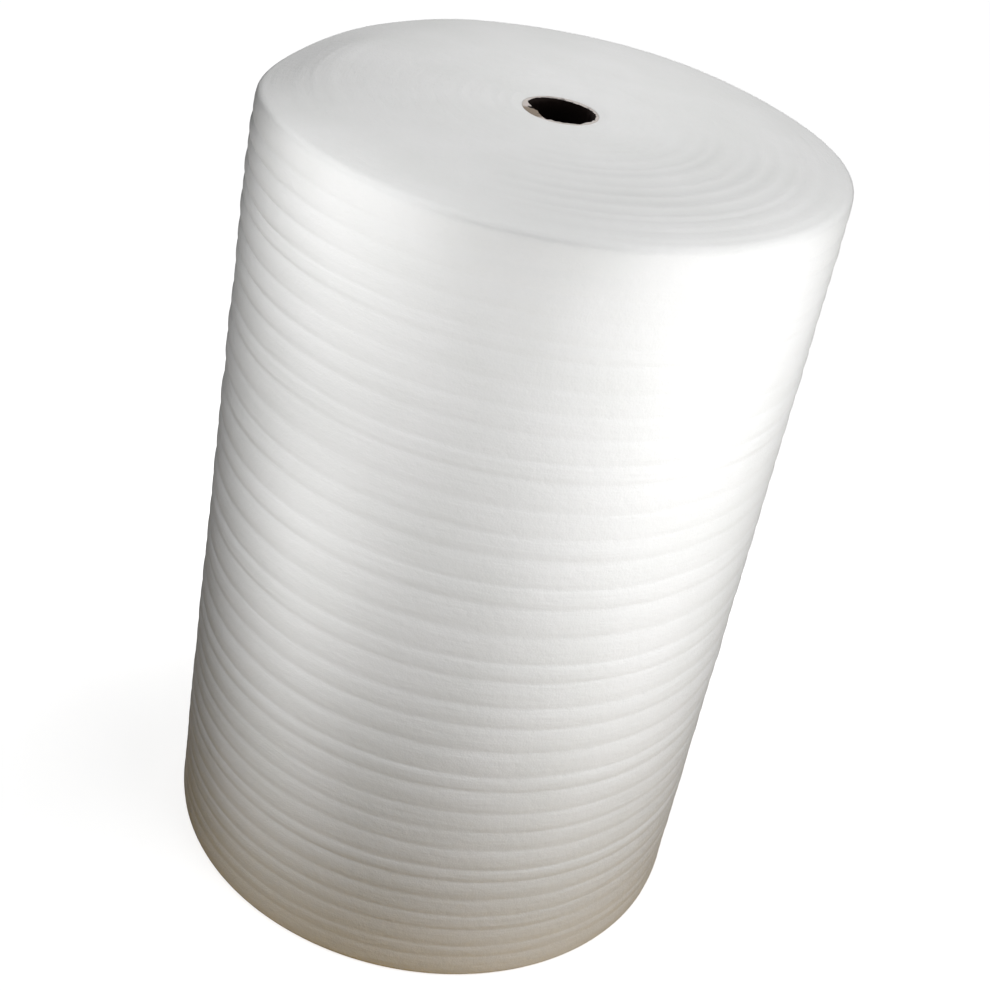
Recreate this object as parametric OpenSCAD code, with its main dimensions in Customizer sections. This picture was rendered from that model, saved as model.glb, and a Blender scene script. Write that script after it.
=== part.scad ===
// Roll of soft foam wrap on a cardboard tube, standing on its end.
// Millimetres. Z is up along the tube, and the origin is the centre of the bottom end.

/* [Roll] */
// Width of the foam sheet, which is the height of the standing roll at its rim
roll_width = 1000; // [400:10:1500]
// Diameter across the outer turn
roll_d = 670; // [300:10:900]
// Thickness of one turn of the wound sheet, and so the step at its loose end
sheet_lap = 1.8; // [0.8:0.1:6]
// Direction of the loose end of the sheet, in degrees from +X
tail_angle = 105; // [0:5:355]
// Rounding of the outer rims
rim_round = 9; // [4:1:25]

/* [Side rings] */
// Usual width of one ring of thicker foam
ring_pitch = 29; // [15:1:60]
// How unevenly the rings share the width
ring_scatter = 0.18; // [0:0.02:0.3]
// How much wider than usual the rings at mid height are, as a share of their width
ring_spread = 0.16; // [0:0.02:0.4]
// How far the rings bulge near the top rim
ring_rise_top = 1.6; // [0.2:0.1:3]
// How far the rings bulge near the bottom rim
ring_rise_bottom = 2.4; // [0.2:0.1:4]

/* [Ends] */
// How far the turns at the tube stand above the turns at the rim
crown_rise = 11; // [2:1:30]
// Usual width of one band of turns on the top end
band_pitch = 21; // [12:1:40]
// How unevenly the bands share the end
band_scatter = 0.2; // [0:0.02:0.3]
// How far each band of turns bulges
band_rise = 1.1; // [0.2:0.1:3]
// Radius of the round groove between two bands on the bottom end
groove_r = 1.2; // [0.4:0.1:3]

/* [Core] */
// Diameter of the hole through the cardboard tube
core_bore_d = 76; // [25:1:152]
// Wall of the cardboard tube
core_wall = 5; // [2:0.5:12]
// How far the tube stops short of the foam at each end
core_recess = 3; // [0:0.5:20]
// Gap between the tube and the first turn
core_gap = 0.1; // [0:0.05:1]

/* [Hidden] */
$fn = 96;
cut = 1;
arc_steps = 4;
roll_r = roll_d / 2;
core_r = core_bore_d / 2 + core_wall;
foam_bore_r = core_r + core_gap;
side_r = roll_r - ring_rise_bottom;
end_r = side_r - rim_round;
inner_r = foam_bore_r - 2 * sheet_lap;
ring_span = roll_width - 2 * rim_round;
ring_count = max(3, round(ring_span / ring_pitch));
band_span = end_r - inner_r;
band_count = max(2, round(band_span / band_pitch));
core_top = roll_width + crown_rise - core_recess;

// A smooth wave that is zero at both ends of a row of count steps
function wander(i, count) =
    min(1, i, count - i) * (0.6 * sin(140 * i) + 0.4 * sin(77 * i + 40));

// Place of edge i in a row of count steps, from 0 to 1
function edge(i, count, scatter) = (i + scatter * wander(i, count)) / count;

// Height of the lower edge of side ring i, with wider rings towards mid height
function ring_z(i) =
    let (share = edge(i, ring_count, ring_scatter))
        rim_round + ring_span * (share - ring_spread * sin(360 * share) / (2 * PI));

// Inner radius of end band i
function band_r(i) = inner_r + band_span * edge(i, band_count, band_scatter);

// Bulge of a side ring at height z
function ring_rise(z) =
    ring_rise_top + (ring_rise_bottom - ring_rise_top) * (1 - pow(z / roll_width, 2));

// Height of the crowned top end at radius r
function crown(r) = roll_width + crown_rise * (1 - pow((r - inner_r) / band_span, 2));

// Height of a round bulge, u of the way across it
function bulge(u) = 4 * u * (1 - u);

// Quarter arc of the rim about [x, z], from angle a to angle a + 90
function rim_arc(x, z, a) =
    [for (k = [0 : 2 * arc_steps])
        let (turn = a + 90 * k / (2 * arc_steps))
            [x + rim_round * cos(turn), z + rim_round * sin(turn)]];

// Flat bottom from the tube out, with a round groove between two bands
function bottom_line() =
    [for (i = [1 : band_count - 1], k = [0 : arc_steps])
        let (turn = 180 - 180 * k / arc_steps)
            [band_r(i) + groove_r * cos(turn), groove_r * sin(turn)]];

// Side from the bottom rim up, one bulge for each ring
function side_line() =
    [for (i = [0 : ring_count - 1], k = [i == 0 ? 1 : 0 : arc_steps - 1])
        let (low = ring_z(i), chord = ring_z(i + 1) - low, u = k / arc_steps)
            [side_r + ring_rise(low + chord / 2) * bulge(u), low + chord * u]];

// Top from the rim in over the crown, one bulge for each band
function top_line() =
    [for (i = [band_count - 1 : -1 : 0], k = [arc_steps - 1 : -1 : 0])
        let (inner = band_r(i), chord = band_r(i + 1) - inner, u = k / arc_steps)
            [inner + chord * u, crown(inner + chord * u) + band_rise * bulge(u)]];

// Half section of the wound foam, from a little inside its bore outwards
module section()
    polygon(concat(
        [[inner_r, 0]],
        bottom_line(),
        rim_arc(end_r, rim_round, -90),
        side_line(),
        rim_arc(end_r, roll_width - rim_round, 0),
        top_line()));

// Half a turn of the section, pushed out from the axis by shift
module half_turn(shift)
    rotate_extrude(angle = 180)
        translate([shift, 0])
            section();

// All turns of the sheet as one solid. The second half is centred half a lap away and is
// half a lap larger, so the outside winds outwards and ends in a step one sheet thick.
module foam_roll()
    color("whitesmoke")
        difference() {
            rotate([0, 0, tail_angle])
                union() {
                    half_turn(0);
                    translate([sheet_lap / 2, 0, 0])
                        rotate([0, 0, 180])
                            half_turn(sheet_lap / 2);
                }
            translate([0, 0, -cut])
                cylinder(h = roll_width + crown_rise + band_rise + 2 * cut, r = foam_bore_r);
        }

// Cardboard tube, a little short of the foam at both ends
module core_tube()
    color("tan")
        difference() {
            translate([0, 0, core_recess])
                cylinder(h = core_top - core_recess, r = core_r);
            translate([0, 0, core_recess - cut])
                cylinder(h = core_top - core_recess + 2 * cut, d = core_bore_d);
        }

foam_roll();
core_tube();
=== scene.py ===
"""Looks of the foam wrap roll: its wound foam, its cardboard tube, the light and the camera."""
import math

import bmesh
import bpy
import numpy as np
from mathutils import Matrix, Vector


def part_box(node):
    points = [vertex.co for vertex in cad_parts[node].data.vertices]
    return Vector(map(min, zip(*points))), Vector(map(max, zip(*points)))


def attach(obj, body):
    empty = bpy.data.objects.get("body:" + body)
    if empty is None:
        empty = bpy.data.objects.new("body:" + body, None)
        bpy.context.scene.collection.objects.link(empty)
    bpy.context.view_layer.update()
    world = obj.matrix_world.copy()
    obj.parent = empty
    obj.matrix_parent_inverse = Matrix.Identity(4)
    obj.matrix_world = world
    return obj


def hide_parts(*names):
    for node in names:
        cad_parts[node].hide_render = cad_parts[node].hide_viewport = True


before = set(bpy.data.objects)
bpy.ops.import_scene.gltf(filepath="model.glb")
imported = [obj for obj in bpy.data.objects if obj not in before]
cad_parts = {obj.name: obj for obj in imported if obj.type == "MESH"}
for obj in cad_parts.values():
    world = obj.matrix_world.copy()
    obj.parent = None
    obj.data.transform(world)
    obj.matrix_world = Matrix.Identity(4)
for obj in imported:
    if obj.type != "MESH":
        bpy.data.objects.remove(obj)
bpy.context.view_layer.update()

# Sizes read from the frame, in metres
foam_low, foam_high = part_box("foam_roll")
core_low, core_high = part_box("core_tube")
ROLL_R = -foam_low.y
CORE_R = core_high.x

# Sizes of the roll, in metres, as in the solid model
ROLL_WIDTH = 1.0
SHEET_LAP = 0.0018
TAIL_ANGLE = math.radians(105)
RIM_ROUND = 0.009
RING_PITCH = 0.029
RING_SCATTER = 0.18
RING_SPREAD = 0.16
RING_RISE_TOP = 0.0016
RING_RISE_BOTTOM = 0.0024
CROWN_RISE = 0.011
BAND_PITCH = 0.021
BAND_SCATTER = 0.2
GROOVE_R = 0.0012
CORE_BORE_R = 0.038
CORE_GAP = 0.0001

# Values worked out from them
FOAM_BORE_R = CORE_R + CORE_GAP
SIDE_R = ROLL_R - RING_RISE_BOTTOM
END_R = SIDE_R - RIM_ROUND
INNER_R = FOAM_BORE_R - 2 * SHEET_LAP
RING_SPAN = ROLL_WIDTH - 2 * RIM_ROUND
BAND_SPAN = END_R - INNER_R
RING_COUNT = round(RING_SPAN / RING_PITCH)
BAND_COUNT = round(BAND_SPAN / BAND_PITCH)

# Side rings: the power of their bulge, how uneven, sagging and creased they are, how far below
# the top rim they fade in, and how low on the roll and by which share they are flatter
RING_POWER = 2.2
RING_UNEVEN = 0.3
RING_SAG = 0.0014
RING_CREASE = 0.3
CREASE_WIDTH = 0.12
RING_FADE = 0.04
RING_FLAT = 0.2
RING_FLAT_SHARE = 0.5

# Where the rings stand out less and more: middle, half width and share
RING_FRONT = (math.radians(275), math.radians(60))
RING_FRONT_LESS = 0.55
RING_LEFT = (math.radians(204), math.radians(19))
RING_LEFT_MORE = 0.4

# Bands of turns on the top end, and the finer lines of turns in them
BAND_RISE = 0.0011
BAND_FRONT = (math.radians(312), math.radians(42))
BAND_LEFT = (math.radians(185), math.radians(30))
BAND_REST = 0.07
BAND_UNEVEN = 0.3
TURN_RISE = 0.00015
TURN_PITCH = 0.0105
TURN_FRONT = (math.radians(308), math.radians(42))
TURN_REST = 0.15
TURN_UNEVEN = 0.5

# Mouth of the foam at the tube: its rounding, its dip and how far out the dip reaches
MOUTH_ROUND = 0.0015
MOUTH_DIP = 0.0024
MOUTH_REACH = 0.014
LIP_SHARE = 0.3

# Seeds of the uneven forms. Each ring or band adds its own number to one.
GROOVE_SHADE_SEED = 61
CREASE_SEED = 80
SAG_SEED = 90
SWELL_SEED = 100
BAND_NOISE_SEED = 200
SAG_STEP_SEED = 300
BAND_SEED = 400
TURN_SEED = 500
CREASE_NOISE_SEED = 600
PLY_SEED = 700

# Sunken stretches of the top rim: middle, half width, fall and shift inwards
SLUMPS = [
    (math.radians(174), math.radians(19), 0.0145, 0.002),
    (math.radians(147), math.radians(18), 0.0075, 0.001),
    (math.radians(33), math.radians(24), 0.005, 0.001),
]
SLUMP_REACH_IN = 0.080
SLUMP_REACH_DOWN = 0.110

# Points closer than this become one, and edges sharper than this stay sharp
WELD = 0.00002
CORNER = math.radians(50)

# Fineness of the foam mesh
TURN_STEPS = 200
RING_STOPS = (0, 0.08, 0.21, 0.35, 0.5, 0.65, 0.79, 0.92)
RIM_ROWS = 6
TOP_STEP = 0.0021

# Camera, found by matching the rim, the hole, the rings and the outline
CAMERA_SENSOR = 36
CAMERA_BACK = 1.8453
CAMERA_UP = 1.6299
CAMERA_YAW = math.radians(0.435)
CAMERA_PITCH = math.radians(31.365)
CAMERA_ROLL = math.radians(11.543)
CAMERA_LENS = 62.71


def wander(i, count):
    """A smooth wave that is zero at both ends of a row of count steps."""
    wave = 0.6 * math.sin(math.radians(140 * i)) + 0.4 * math.sin(math.radians(77 * i + 40))
    return min(1, i, count - i) * wave


def edges(count, span, scatter):
    """Places of all edges in a row of count steps over span."""
    return [span * (i + scatter * wander(i, count)) / count for i in range(count + 1)]


def bands():
    """Inner and outer radius of each band of turns on the ends."""
    places = [INNER_R + p for p in edges(BAND_COUNT, BAND_SPAN, BAND_SCATTER)]
    return list(zip(places, places[1:]))


def ring_rise(z):
    """Bulge of a side ring at height z."""
    return RING_RISE_TOP + (RING_RISE_BOTTOM - RING_RISE_TOP) * (1 - (z / ROLL_WIDTH) ** 2)


def crown(r):
    """Height of the crowned top end at radius r."""
    return ROLL_WIDTH + CROWN_RISE * (1 - ((r - INNER_R) / BAND_SPAN) ** 2)


def soft_noise(angle, seed, waves):
    """A smooth value, mostly between -1 and 1, that closes on itself round the roll."""
    rng = np.random.default_rng(seed)
    total = np.zeros_like(angle)
    for n in range(1, waves + 1):
        total += rng.normal() * np.cos(n * angle + rng.uniform(0, math.tau)) / math.sqrt(n)
    return total / math.sqrt(2 * sum(1 / n for n in range(1, waves + 1)))


def window(angle, middle, spread):
    """1 at the middle angle, a half at spread on both sides, and 0 from twice spread on."""
    apart = np.abs((angle - middle + math.pi) % math.tau - math.pi)
    return np.where(apart < 2 * spread, (1 + np.cos(apart * math.pi / (2 * spread))) / 2, 0)


def fade(distance, reach):
    """1 at distance 0, falling smoothly to 0 at reach."""
    u = np.clip(np.asarray(distance) / reach, 0, 1)
    return 1 - u * u * (3 - 2 * u)


class Profile:
    """Rows of the foam mesh from the bore, under the roll, up the side and over the top."""

    def __init__(self, angle):
        self.angle = angle
        self.rows = []

    def add(self, radius, height, wind):
        """One row. radius and height are numbers or arrays, and wind is its share of the lap."""
        ones = np.ones_like(self.angle)
        self.rows.append((radius * ones, height * ones, wind))

    def bottom(self):
        """Flat bottom from the bore out, with a groove between two bands of turns."""
        self.add(FOAM_BORE_R, ROLL_WIDTH / 2, 0)
        self.add(FOAM_BORE_R, MOUTH_ROUND, 0)
        self.add(FOAM_BORE_R + MOUTH_ROUND, 0, 0)
        for low, _ in bands()[1:]:
            self.add(low - GROOVE_R, 0, 0)
            self.add(low, GROOVE_R, 0)
            self.add(low + GROOVE_R, 0, 0)

    def rim(self, height, start):
        """Rounded rim about a centre at height, from the angle start over a quarter turn."""
        for k in range(RIM_ROWS + 1):
            a = math.radians(start + 90 * k / RIM_ROWS)
            wind = max(0, math.cos(a))
            self.add(END_R + RIM_ROUND * math.cos(a), height + RIM_ROUND * math.sin(a), wind)

    def side(self):
        """Side rings, a little uneven round the roll, with a narrow groove between two of them."""
        shares = edges(RING_COUNT, 1, RING_SCATTER)
        spread = RING_SPREAD / math.tau
        places = [RING_SPAN * (s - spread * math.sin(math.tau * s)) for s in shares]
        rng = np.random.default_rng(CREASE_SEED)
        sag = RING_SAG * soft_noise(self.angle, SAG_SEED, 4)
        for i, (low, high) in enumerate(zip(places, places[1:])):
            middle = RIM_ROUND + (low + high) / 2
            rise = ring_rise(middle) * (1 - fade(ROLL_WIDTH - middle, RING_FADE))
            flatter = 1 - RING_FLAT_SHARE * fade(middle, RING_FLAT)
            rise = rise * flatter * self.ring_share(middle)
            swell = rise * (1 + RING_UNEVEN * soft_noise(self.angle, SWELL_SEED + i, 12))
            crease_at, crease_deep = rng.uniform(0.3, 0.7), rng.uniform(0, 1)
            nicks = soft_noise(self.angle, CREASE_NOISE_SEED + i, 9)
            crease = RING_CREASE * crease_deep * (1 + nicks)
            sag = 0.6 * sag + 0.5 * RING_SAG * soft_noise(self.angle, SAG_STEP_SEED + i, 14)
            for u in RING_STOPS[1 if i == 0 else 0:]:
                wave = 1 - abs(2 * u - 1) ** RING_POWER
                nick = math.exp(-(((u - crease_at) / CREASE_WIDTH) ** 2))
                z = RIM_ROUND + low + (high - low) * u
                level = z + sag * fade(abs(z / ROLL_WIDTH - 0.5), 0.5)
                self.add(SIDE_R + swell * (wave - crease * nick), level, 1)

    def top(self):
        """Bands of turns over the crowned top, from the rim in to the bore."""
        for i, (low, high) in reversed(list(enumerate(bands()))):
            low = max(low, FOAM_BORE_R + MOUTH_ROUND)
            steps = max(4, round((high - low) / TOP_STEP))
            swell = BAND_RISE * self.band_share(i)
            for k in range(1 if i == BAND_COUNT - 1 else 0, steps):
                u = 1 - k / steps
                r = low + (high - low) * u
                wave = (1 - math.cos(math.tau * u)) / 2
                turns = TURN_RISE * self.turn_share(i) * math.cos(math.tau * r / TURN_PITCH)
                self.add(r, crown(r) - mouth_dip(r) + swell * wave + turns, 0)
        lip = crown(INNER_R) - MOUTH_DIP
        self.add(FOAM_BORE_R + MOUTH_ROUND * LIP_SHARE, lip - MOUTH_ROUND * LIP_SHARE, 0)
        self.add(FOAM_BORE_R, lip - MOUTH_ROUND, 0)

    def ring_share(self, height):
        """How strongly the side rings stand out round the roll: most at the left, high up."""
        front = window(self.angle, *RING_FRONT)
        left = window(self.angle, *RING_LEFT)
        return 1 - RING_FRONT_LESS * front + (RING_LEFT_MORE + (height / ROLL_WIDTH) ** 2) * left

    def band_share(self, i):
        """How strongly band i stands out round the roll: most at the front right."""
        front = window(self.angle, *BAND_FRONT)
        left = window(self.angle, *BAND_LEFT)
        rng = np.random.default_rng(BAND_SEED + i)
        place = 0.4 + 0.8 * math.sin(math.pi * max(0, (i - 2) / (BAND_COUNT - 2)))
        share = BAND_REST + place * rng.uniform(0.7, 1.3) * front + rng.uniform(0.0, 0.4) * left
        return share * (1 + BAND_UNEVEN * soft_noise(self.angle, BAND_NOISE_SEED + i, 7))

    def turn_share(self, i):
        """How strongly the finer lines of turns show in band i."""
        share = TURN_REST + (1 - TURN_REST) * window(self.angle, *TURN_FRONT)
        return share * (1 + TURN_UNEVEN * soft_noise(self.angle, TURN_SEED + i, 9))


def mouth_dip(r):
    """How far the end lies lower towards the bore, down to the tube."""
    return MOUTH_DIP * float(fade(r - FOAM_BORE_R, MOUTH_REACH))


def slump(radius, height, angle):
    """How far the outer turns have sunk, and moved inwards, along the top rim."""
    near = fade(ROLL_R - radius, SLUMP_REACH_IN) * fade(ROLL_WIDTH - height, SLUMP_REACH_DOWN)
    fall = sum(window(angle, middle, spread) * deep for middle, spread, deep, _ in SLUMPS)
    shift = sum(window(angle, middle, spread) * inwards for middle, spread, _, inwards in SLUMPS)
    return fall * near, shift * near


def build_foam():
    """The wound sheet as one closed mesh, with the step of its loose end."""
    turn = np.linspace(0, 1, TURN_STEPS + 1)
    angle = TAIL_ANGLE + math.tau * turn
    profile = Profile(angle)
    profile.bottom()
    profile.rim(RIM_ROUND, -90)
    profile.side()
    profile.rim(ROLL_WIDTH - RIM_ROUND, 0)
    profile.top()

    points = []
    for radius, height, wind in profile.rows:
        fall, shift = slump(radius, height, angle)
        r = radius + SHEET_LAP * wind * turn - shift
        points.append(np.stack([r * np.cos(angle), r * np.sin(angle), height - fall], axis=1))
    return skin_rows("wound_foam", np.array(points))


def skin_rows(name, grid):
    """A closed ring of quads through a grid of points, round and along."""
    rows, columns = grid.shape[:2]
    index = np.arange(rows * columns).reshape(rows, columns)
    after_row = np.roll(index, -1, axis=0)
    after_column = np.roll(index, -1, axis=1)
    after_both = np.roll(after_row, -1, axis=1)
    faces = np.stack([index, after_column, after_both, after_row], axis=2).reshape(-1, 4)
    mesh = bpy.data.meshes.new(name)
    mesh.from_pydata(grid.reshape(-1, 3).tolist(), [], faces.tolist())
    piece = bpy.data.objects.new(name, mesh)
    bpy.context.scene.collection.objects.link(piece)
    weld(piece)
    return piece


def weld(piece):
    """Joins points that lie on each other, turns faces outwards and smooths all but corners."""
    work = bmesh.new()
    work.from_mesh(piece.data)
    bmesh.ops.remove_doubles(work, verts=work.verts, dist=WELD)
    bmesh.ops.recalc_face_normals(work, faces=work.faces)
    for edge in work.edges:
        edge.smooth = edge.calc_face_angle(0) < CORNER
    work.to_mesh(piece.data)
    work.free()
    for face in piece.data.polygons:
        face.use_smooth = True


# The tube's worn mouth: its wall is pushed in along a chord at the front left, its edge is worn
# back at the stretches in WORN, each with its middle, half width and share, and plies stand ragged
DENT_ANGLE = math.radians(207)
DENT_HALF = math.radians(38)
DENT_DEPTHS = (0.0004, 0.0012, 0.0025, 0.005, 0.008, 0.012, 0.017, 0.024)
MOUTH_WEAR = 0.0038
MOUTH_WEAR_REACH = 0.004
DENT_KEEP = 0.006
DENT_REACH = 0.022
PLY_RAGGED = 0.0008
WORN = [(math.radians(125), math.radians(27), 1), (math.radians(20), math.radians(27), 0.7)]
TUBE_BEVEL = 0.0003
TUBE_STEPS = 144


def build_tube():
    """The cardboard tube as one closed mesh, with a worn mouth at the top."""
    angle = np.linspace(0, math.tau, TUBE_STEPS, endpoint=False)
    apart = (angle - DENT_ANGLE + math.pi) % math.tau - math.pi
    chord = CORE_BORE_R * math.cos(DENT_HALF) / np.cos(np.clip(apart, -DENT_HALF, DENT_HALF))
    push = CORE_BORE_R - chord
    ragged = PLY_RAGGED * soft_noise(angle, PLY_SEED, 30)
    worn = sum(share * window(angle, middle, spread) for middle, spread, share in WORN)
    low, high = core_low.z, core_high.z
    rows = [(CORE_R, low, 0), (CORE_R, high - TUBE_BEVEL, 0), (CORE_R - TUBE_BEVEL, high, 0)]
    for depth in DENT_DEPTHS:
        wear = MOUTH_WEAR * float(fade(depth, MOUTH_WEAR_REACH))
        rows.append((CORE_BORE_R + wear * worn, high - depth, 1))
    rows += [(CORE_BORE_R, ROLL_WIDTH / 2, 0), (CORE_BORE_R, low, 0)]
    points = []
    for radius, height, share in rows:
        near = float(fade(high - height - DENT_KEEP, DENT_REACH - DENT_KEEP)) * share
        r = radius - push * near + ragged * near
        z = height + 2 * ragged * near
        points.append(np.stack([r * np.cos(angle), r * np.sin(angle), z], axis=1))
    return skin_rows("cardboard_tube", np.array(points))


# Foam: its colours, and the scale of its patches of tone, cells, mottle and streaks
FOAM_DARK = (0.812, 0.816, 0.806)
FOAM_LIGHT = (0.855, 0.855, 0.852)
PATCH_SCALE = 9
CELL_SCALE = 420
MOTTLE_SCALE = 100
STREAK_SCALES = (13, 13, 130)
FOAM_ROUGH = 0.8
FOAM_SHINE = 0.03

# Strength and depth of each layer of bump
CELL_BUMP = (0.35, 0.0004)
MOTTLE_BUMP = (0.5, 0.0013)
STREAK_BUMP = (0.6, 0.0011)

# Faces whose normal has a larger Z than this are on an end
END_FACING = 0.7

# Painted shade on the top end: faint darker lines in the grooves between the bands, where shade
# falls: depth, direction, spread, strongest band and reach in bands
GROOVE_SHADE_DEPTH = 0.06
GROOVE_SHADE_ANGLE = math.radians(312)
GROOVE_SHADE_SPREAD = math.radians(62)
GROOVE_SHADE_BAND = 9.5
GROOVE_SHADE_REACH = 7

# Board: its colours where cut, at a darker spot of the mouth, and near black down the bore as
# painted shade of the deep bore, how far the cut edge reaches down before that painted shade
# begins, and the place and size of the darker spot of the mouth
BOARD_CUT = (0.64, 0.59, 0.56)
BOARD_DARK_SPOT = (0.30, 0.25, 0.20)
BOARD_PAINTED_SHADE = (0.010, 0.006, 0.005)
BOARD_EDGE = 0.0016
BOARD_ROUGH = 0.9
BOARD_SHINE = 0.1
FIBRE_SCALE = 260
FIBRE_BUMP = (0.4, 0.0003)
DARK_SPOT_ANGLE = math.radians(216)
DARK_SPOT_RADIUS = 0.020


def new_material(name):
    """An empty node material and its principled shader."""
    material = bpy.data.materials.new(name)
    material.use_nodes = True
    return material, material.node_tree.nodes["Principled BSDF"]


def node(tree, kind, **settings):
    """A new node with its settings and the default values of its inputs."""
    made = tree.nodes.new("ShaderNode" + kind)
    for key, value in settings.items():
        if key in made.inputs:
            made.inputs[key].default_value = value
        else:
            setattr(made, key, value)
    return made


def math_node(tree, operation, first, second=None):
    """The result of a math node on two sockets or numbers."""
    made = node(tree, "Math", operation=operation)
    for socket, value in zip(made.inputs, (first, second)):
        if isinstance(value, bpy.types.NodeSocket):
            tree.links.new(value, socket)
        elif value is not None:
            socket.default_value = value
    return made.outputs[0]


def ramp(tree, source, stops):
    """A colour for a value, from a list of (place, colour)."""
    made = node(tree, "ValToRGB")
    elements = made.color_ramp.elements
    elements.remove(elements[1])
    for i, (place, colour) in enumerate(stops):
        element = elements.new(place) if i else elements[0]
        element.position = place
        element.color = (*colour, 1)
    tree.links.new(source, made.inputs["Fac"])
    return made.outputs["Color"]


def painted_groove_shade_stops():
    """Tone over the top end by radius: painted shade, a little darker in the grooves between bands
    of turns.
    """
    stops = []
    rng = np.random.default_rng(GROOVE_SHADE_SEED)
    for i, (low, high) in enumerate(bands()):
        depth = GROOVE_SHADE_DEPTH * rng.uniform(0.4, 1.5)
        dark = 1 - depth * float(fade(abs(i - GROOVE_SHADE_BAND), GROOVE_SHADE_REACH))
        stops.append((low / END_R, (dark, dark, dark)))
        stops.append((0.5 * (low + high) / END_R, (1, 1, 1)))
    return stops


def painted_groove_shade_share(tree, x, y, radius, up):
    """How strongly the painted groove shade shows: most at the front right of the top end, and
    nowhere else.
    """
    forward = math_node(tree, "MULTIPLY", x, math.cos(GROOVE_SHADE_ANGLE))
    sideways = math_node(tree, "MULTIPLY", y, math.sin(GROOVE_SHADE_ANGLE))
    near = node(tree, "MapRange", interpolation_type="SMOOTHSTEP")
    toward = math_node(tree, "DIVIDE", math_node(tree, "ADD", forward, sideways), radius)
    tree.links.new(toward, near.inputs["Value"])
    near.inputs["From Min"].default_value = math.cos(GROOVE_SHADE_SPREAD)
    near.inputs["From Max"].default_value = 1
    on_top = math_node(tree, "GREATER_THAN", up, END_FACING)
    return math_node(tree, "MULTIPLY", near.outputs["Result"], on_top)


def foam_material():
    """Soft white foam: matte, with fine cells, streaks along the sheet and its turns, and painted
    shade in the grooves between bands of the top end.
    """
    material, shader = new_material("white_foam")
    tree = material.node_tree
    place = node(tree, "TexCoord").outputs["Object"]
    parts = node(tree, "SeparateXYZ")
    tree.links.new(place, parts.inputs[0])
    facing = node(tree, "SeparateXYZ")
    tree.links.new(node(tree, "NewGeometry").outputs["True Normal"], facing.inputs[0])

    patches = node(tree, "TexNoise", Scale=PATCH_SCALE, Detail=4)
    tree.links.new(place, patches.inputs["Vector"])
    tone = ramp(tree, patches.outputs["Fac"], [(0.3, FOAM_DARK), (0.7, FOAM_LIGHT)])

    x, y, z = (parts.outputs[k] for k in "XYZ")
    x_square = math_node(tree, "MULTIPLY", x, x)
    y_square = math_node(tree, "MULTIPLY", y, y)
    radius = math_node(tree, "SQRT", math_node(tree, "ADD", x_square, y_square))
    upright = math_node(tree, "ABSOLUTE", facing.outputs["Z"])
    on_end = math_node(tree, "GREATER_THAN", upright, END_FACING)
    # Painted shade: the foam's tone is multiplied by darker lines in the grooves between bands on
    # the top end
    groove_shaded = node(tree, "Mix", data_type="RGBA", blend_type="MULTIPLY")
    tree.links.new(painted_groove_shade_share(tree, x, y, radius, facing.outputs["Z"]), groove_shaded.inputs[0])
    tree.links.new(tone, groove_shaded.inputs[6])
    share = math_node(tree, "DIVIDE", radius, END_R)
    tree.links.new(ramp(tree, share, painted_groove_shade_stops()), groove_shaded.inputs[7])
    tree.links.new(groove_shaded.outputs[2], shader.inputs["Base Color"])

    across = node(tree, "Mix", data_type="FLOAT")
    tree.links.new(on_end, across.inputs["Factor"])
    tree.links.new(z, across.inputs["A"])
    tree.links.new(radius, across.inputs["B"])
    along = node(tree, "CombineXYZ")
    for socket, value, scale in zip(along.inputs, (x, y, across.outputs[0]), STREAK_SCALES):
        tree.links.new(math_node(tree, "MULTIPLY", value, scale), socket)
    streaks = node(tree, "TexNoise", Scale=1, Detail=5, Roughness=0.65)
    tree.links.new(along.outputs[0], streaks.inputs["Vector"])
    cells = node(tree, "TexVoronoi", Scale=CELL_SCALE)
    tree.links.new(place, cells.inputs["Vector"])
    mottle = node(tree, "TexNoise", Scale=MOTTLE_SCALE, Detail=3)
    tree.links.new(place, mottle.inputs["Vector"])

    layers = (
        (cells.outputs["Distance"], *CELL_BUMP),
        (mottle.outputs["Fac"], *MOTTLE_BUMP),
        (streaks.outputs["Fac"], *STREAK_BUMP),
    )
    below = None
    for height, strength, distance in layers:
        bump = node(tree, "Bump", Strength=strength, Distance=distance)
        tree.links.new(height, bump.inputs["Height"])
        if below is not None:
            tree.links.new(below, bump.inputs["Normal"])
        below = bump.outputs[0]
    tree.links.new(below, shader.inputs["Normal"])
    shader.inputs["Roughness"].default_value = FOAM_ROUGH
    shader.inputs["Specular IOR Level"].default_value = FOAM_SHINE
    return material


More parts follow.
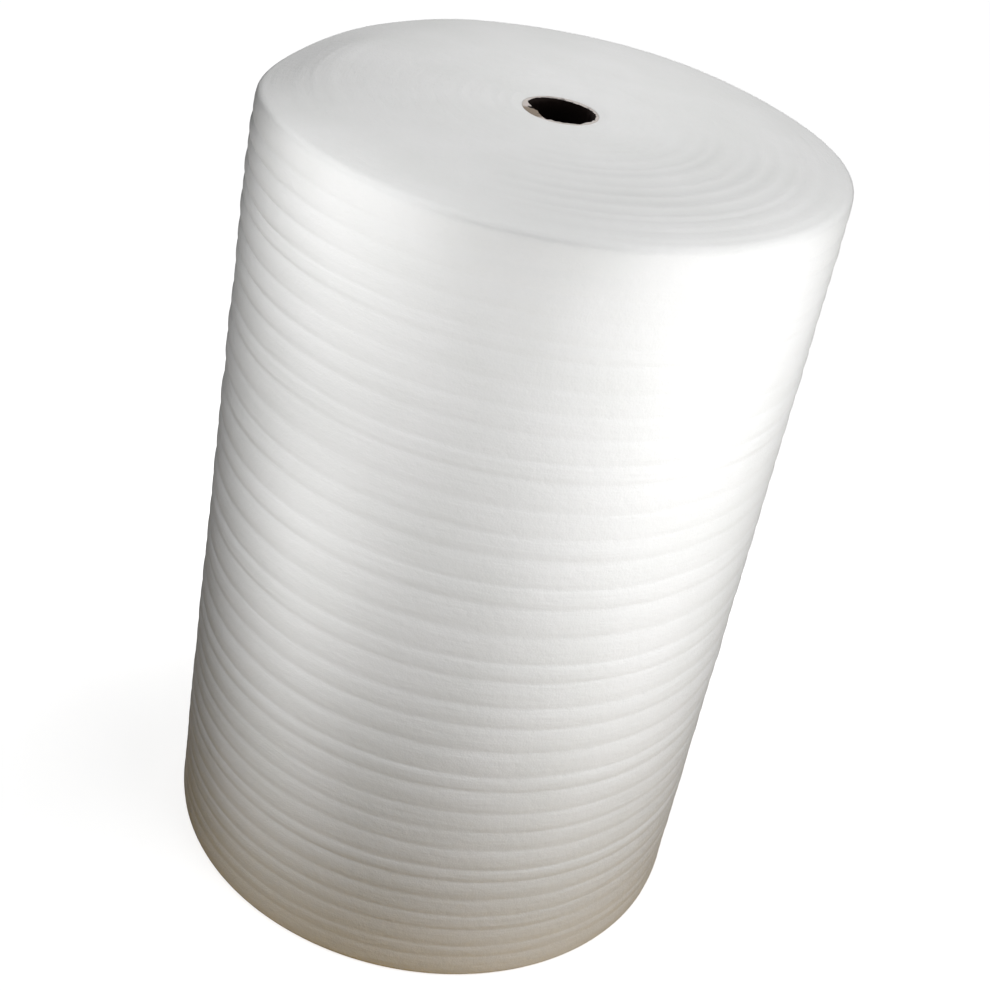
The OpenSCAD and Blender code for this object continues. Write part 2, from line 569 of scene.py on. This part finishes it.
def board_material():
    """Paper board: pale at the cut mouths, with a darker spot at one mouth, and near black down the
    bore as painted shade.
    """
    material, shader = new_material("paper_board")
    tree = material.node_tree
    place = node(tree, "TexCoord").outputs["Object"]
    fibres = node(tree, "TexNoise", Scale=FIBRE_SCALE, Detail=6, Roughness=0.7)
    tree.links.new(place, fibres.inputs["Vector"])
    parts = node(tree, "SeparateXYZ")
    tree.links.new(place, parts.inputs[0])
    middle = (core_low.z + core_high.z) / 2
    half = (core_high.z - core_low.z) / 2
    above = math_node(tree, "SUBTRACT", parts.outputs["Z"], middle)
    depth = math_node(tree, "SUBTRACT", half, math_node(tree, "ABSOLUTE", above))
    spot = node(tree, "VectorMath", operation="DISTANCE")
    tree.links.new(place, spot.inputs[0])
    across = (CORE_BORE_R * math.cos(DARK_SPOT_ANGLE), CORE_BORE_R * math.sin(DARK_SPOT_ANGLE))
    spot.inputs[1].default_value = (*across, core_high.z)
    rough = math_node(tree, "MULTIPLY", fibres.outputs["Fac"], BOARD_EDGE)
    rough_spot = math_node(tree, "ADD", spot.outputs["Value"], rough)
    # Distance from the darker spot at the dented front left of the mouth, in its radii: the cut
    # board is darker beige there
    worn = math_node(tree, "DIVIDE", rough_spot, DARK_SPOT_RADIUS)
    cut = ramp(tree, worn, [(0.7, BOARD_DARK_SPOT), (1.0, BOARD_CUT)])
    # Painted shade: all board further from an end than the cut edge reaches is near black, standing
    # for the deep bore's shadow
    rough_depth = math_node(tree, "ADD", depth, rough)
    shaded_inside = math_node(tree, "GREATER_THAN", rough_depth, BOARD_EDGE)
    mix = node(tree, "Mix", data_type="RGBA")
    tree.links.new(shaded_inside, mix.inputs[0])
    tree.links.new(cut, mix.inputs[6])
    mix.inputs[7].default_value = (*BOARD_PAINTED_SHADE, 1)
    tree.links.new(mix.outputs[2], shader.inputs["Base Color"])
    bump = node(tree, "Bump", Strength=FIBRE_BUMP[0], Distance=FIBRE_BUMP[1])
    tree.links.new(fibres.outputs["Fac"], bump.inputs["Height"])
    tree.links.new(bump.outputs[0], shader.inputs["Normal"])
    shader.inputs["Roughness"].default_value = BOARD_ROUGH
    shader.inputs["Specular IOR Level"].default_value = BOARD_SHINE
    return material


# Floor: the colour that it throws back on to the roll, from warm close by to plain further out,
# and how it looks itself, from its glow by the roll to full white further out
FLOOR_REACH = 40
BOUNCE_WARM = (0.48, 0.29, 0.03)
BOUNCE_PLAIN = (0.16, 0.10, 0.02)
BOUNCE_NEAR = 0.42
BOUNCE_FAR = 0.80
FLOOR_GREY = (0.6, 0.6, 0.6, 1)
FLOOR_GLOW = 0.78
FLOOR_NEAR = 0.4
FLOOR_FAR = 1.1
WHITE = (1, 1, 1, 1)
WORLD_LIGHT = 0.01

# Lamps: name, azimuth, distance from the axis, height, size, height aimed at and power
LAMPS = [
    ("left_softbox", -34, 0.60, 0.80, (0.40, 0.80), 0.52, 1.32),
    ("left_strip", -33, 0.50, 0.36, (0.14, 0.62), 0.30, 0.23),
    ("left_high_softbox", -44, 0.58, 0.98, (0.35, 0.35), 0.70, 0.23),
    ("right_softbox", 42, 0.62, 0.65, (0.72, 1.00), 0.40, 3.75),
    ("back_left_softbox", -150, 0.9, 0.50, (0.7, 0.8), 0.4, 2.3),
    ("back_right_softbox", 150, 0.9, 0.50, (0.7, 0.8), 0.4, 2.3),
    ("top_softbox", 150, 0.20, 2.00, (0.40, 0.40), 0.80, 8.7),
]


def add_softbox(name, azimuth, back, height, size, aim_height, power):
    """A soft lamp round the roll. Azimuth 0 is on the camera's side, and + is to its right."""
    lamp = bpy.data.lights.new(name, "AREA")
    lamp.shape = "RECTANGLE"
    lamp.size, lamp.size_y = size
    lamp.energy = power
    holder = bpy.data.objects.new(name, lamp)
    turn = math.radians(azimuth)
    holder.location = (back * math.sin(turn), -back * math.cos(turn), height)
    aim = Vector((0, 0, aim_height)) - holder.location
    holder.rotation_euler = aim.to_track_quat("-Z", "Y").to_euler()
    holder.visible_camera = False
    bpy.context.scene.collection.objects.link(holder)


def seen_directly(tree):
    """1 for camera, glossy and transmission rays, else 0."""
    path = node(tree, "LightPath")
    camera_or_glossy = math_node(
        tree, "MAXIMUM", path.outputs["Is Camera Ray"], path.outputs["Is Glossy Ray"])
    return math_node(tree, "MAXIMUM", camera_or_glossy, path.outputs["Is Transmission Ray"])


def by_distance(tree, distance, near, far, low, high):
    """A value that goes from low at the distance near to high at the distance far."""
    made = node(tree, "MapRange", clamp=True)
    tree.links.new(distance, made.inputs["Value"])
    limits = {"From Min": near, "From Max": far, "To Min": low, "To Max": high}
    for key, value in limits.items():
        made.inputs[key].default_value = value
    return made.outputs["Result"]


def mix_shaders(tree, share, first, second, output):
    """Sends a mix of two shaders to the surface of the output node."""
    mix = node(tree, "MixShader")
    tree.links.new(share, mix.inputs[0])
    tree.links.new(first, mix.inputs[1])
    tree.links.new(second, mix.inputs[2])
    tree.links.new(mix.outputs[0], tree.nodes[output].inputs["Surface"])


def floor_material():
    """Pale floor: white where it is seen, with the roll's shadow, and matte in the light."""
    material, shader = new_material("pale_floor")
    tree = material.node_tree
    shader.inputs["Roughness"].default_value = 1
    shader.inputs["Specular IOR Level"].default_value = 0
    away = node(tree, "VectorMath", operation="LENGTH")
    tree.links.new(node(tree, "TexCoord").outputs["Object"], away.inputs[0])
    distance = away.outputs["Value"]
    bounce = by_distance(tree, distance, BOUNCE_NEAR, BOUNCE_FAR, 0, 1)
    colour = ramp(tree, bounce, [(0.0, BOUNCE_WARM), (1.0, BOUNCE_PLAIN)])
    tree.links.new(colour, shader.inputs["Base Color"])

    seen = node(tree, "BsdfDiffuse", Color=FLOOR_GREY)
    glow = node(tree, "Emission")
    far = by_distance(tree, distance, FLOOR_NEAR, FLOOR_FAR, FLOOR_GLOW, 1)
    tree.links.new(far, glow.inputs["Strength"])
    both = node(tree, "AddShader")
    tree.links.new(seen.outputs[0], both.inputs[0])
    tree.links.new(glow.outputs[0], both.inputs[1])
    mix_shaders(tree, seen_directly(tree), shader.outputs[0], both.outputs[0], "Material Output")
    return material


def build_floor():
    """A wide level floor."""
    mesh = bpy.data.meshes.new("floor")
    low, high = -FLOOR_REACH, FLOOR_REACH
    corners = [(low, low, 0), (high, low, 0), (high, high, 0), (low, high, 0)]
    mesh.from_pydata(corners, [], [(0, 1, 2, 3)])
    floor = bpy.data.objects.new("floor", mesh)
    bpy.context.scene.collection.objects.link(floor)
    mesh.materials.append(floor_material())


def build_world():
    """White where it is seen, and a faint even light for the rest."""
    world = bpy.data.worlds.new("studio")
    bpy.context.scene.world = world
    world.use_nodes = True
    tree = world.node_tree
    soft = tree.nodes["Background"]
    soft.inputs["Color"].default_value = WHITE
    soft.inputs["Strength"].default_value = WORLD_LIGHT
    white = node(tree, "Background", Color=WHITE, Strength=1)
    mix_shaders(tree, seen_directly(tree), soft.outputs[0], white.outputs[0], "World Output")


def build_camera():
    """The photograph's view: from above, leaning to the left."""
    data = bpy.data.cameras.new("camera")
    data.sensor_width = CAMERA_SENSOR
    data.lens = CAMERA_LENS
    camera = bpy.data.objects.new("camera", data)
    turn = Matrix.Rotation(-CAMERA_YAW, 4, "Z")
    tilt = Matrix.Rotation(math.pi / 2 - CAMERA_PITCH, 4, "X")
    roll = Matrix.Rotation(CAMERA_ROLL, 4, "Z")
    place = Matrix.Translation((0, -CAMERA_BACK, CAMERA_UP))
    camera.matrix_world = place @ turn @ tilt @ roll
    bpy.context.scene.collection.objects.link(camera)
    bpy.context.scene.camera = camera


build_camera()
build_floor()
build_world()
for lamp in LAMPS:
    add_softbox(*lamp)
bpy.context.scene.view_settings.view_transform = "Standard"

foam = build_foam()
foam.data.materials.append(foam_material())
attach(foam, "root")
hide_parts("foam_roll")

tube = build_tube()
tube.data.materials.append(board_material())
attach(tube, "root")
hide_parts("core_tube")
